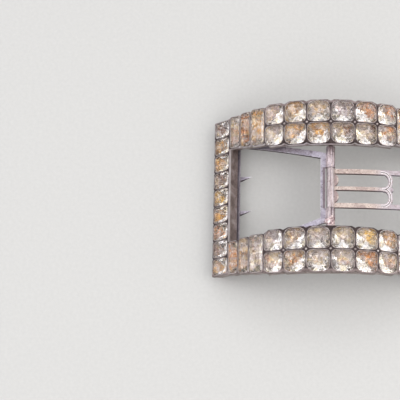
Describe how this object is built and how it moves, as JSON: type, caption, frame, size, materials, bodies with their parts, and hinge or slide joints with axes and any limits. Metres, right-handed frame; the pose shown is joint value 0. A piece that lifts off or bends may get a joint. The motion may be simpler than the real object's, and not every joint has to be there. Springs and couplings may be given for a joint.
{
  "type": "shoe buckle",
  "caption": "Arched rectangular shoe buckle: a silver frame set with foil-backed paste stones, with a spiked loop chape and a pronged tongue hinged on one spindle.",
  "frame": {"origin": "under the middle of the frame, on the plane that the frame's two ends stand on", "axes": "+X along the arch from the chape's side to the tongue's side, +Y along the spindle, +Z out of the jewelled face"},
  "size_m": [0.0784, 0.0606, 0.0201],
  "materials": {
    "silver": "tarnished silver",
    "steel": "worn steel",
    "chape_metal": "worn steel, brown in the corners",
    "tongue_metal": "worn steel, speckled",
    "paste": "foil-backed cut lead glass"
  },
  "bodies": {
    "frame": {"setting": "silver", "spindle": "steel", "cushion_near_inner_1": "paste", "cushion_near_inner_2": "paste", "cushion_near_inner_3": "paste", "cushion_near_inner_4": "paste", "cushion_near_inner_5": "paste", "cushion_near_inner_6": "paste", "cushion_near_outer_1": "paste", "cushion_near_outer_2": "paste", "cushion_near_outer_3": "paste", "cushion_near_outer_4": "paste", "cushion_near_outer_5": "paste", "cushion_near_outer_6": "paste", "cushion_far_inner_1": "paste", "cushion_far_inner_2": "paste", "cushion_far_inner_3": "paste", "cushion_far_inner_4": "paste", "cushion_far_inner_5": "paste", "cushion_far_inner_6": "paste", "cushion_far_outer_1": "paste", "cushion_far_outer_2": "paste", "cushion_far_outer_3": "paste", "cushion_far_outer_4": "paste", "cushion_far_outer_5": "paste", "cushion_far_outer_6": "paste", "baguette_near_1": "paste", "baguette_near_2": "paste", "baguette_near_3": "paste", "baguette_near_4": "paste", "baguette_near_5": "paste", "baguette_near_6": "paste", "baguette_far_1": "paste", "baguette_far_2": "paste", "baguette_far_3": "paste", "baguette_far_4": "paste", "baguette_far_5": "paste", "baguette_far_6": "paste", "end_stones_left": "paste", "end_stones_right": "paste"},
    "chape": {"chape": "chape_metal"},
    "tongue": {"tongue": "tongue_metal"}
  },
  "joints": [
    {"name": "chape_hinge", "type": "hinge", "parent": "frame", "child": "chape", "pos_m": [0, 0, 0.01499], "axis": [0, 1, 0], "range_deg": [-50, 0]},
    {"name": "tongue_hinge", "type": "hinge", "parent": "frame", "child": "tongue", "pos_m": [0, 0, 0.01499], "axis": [0, 1, 0], "range_deg": [-145, 0]}
  ]
}
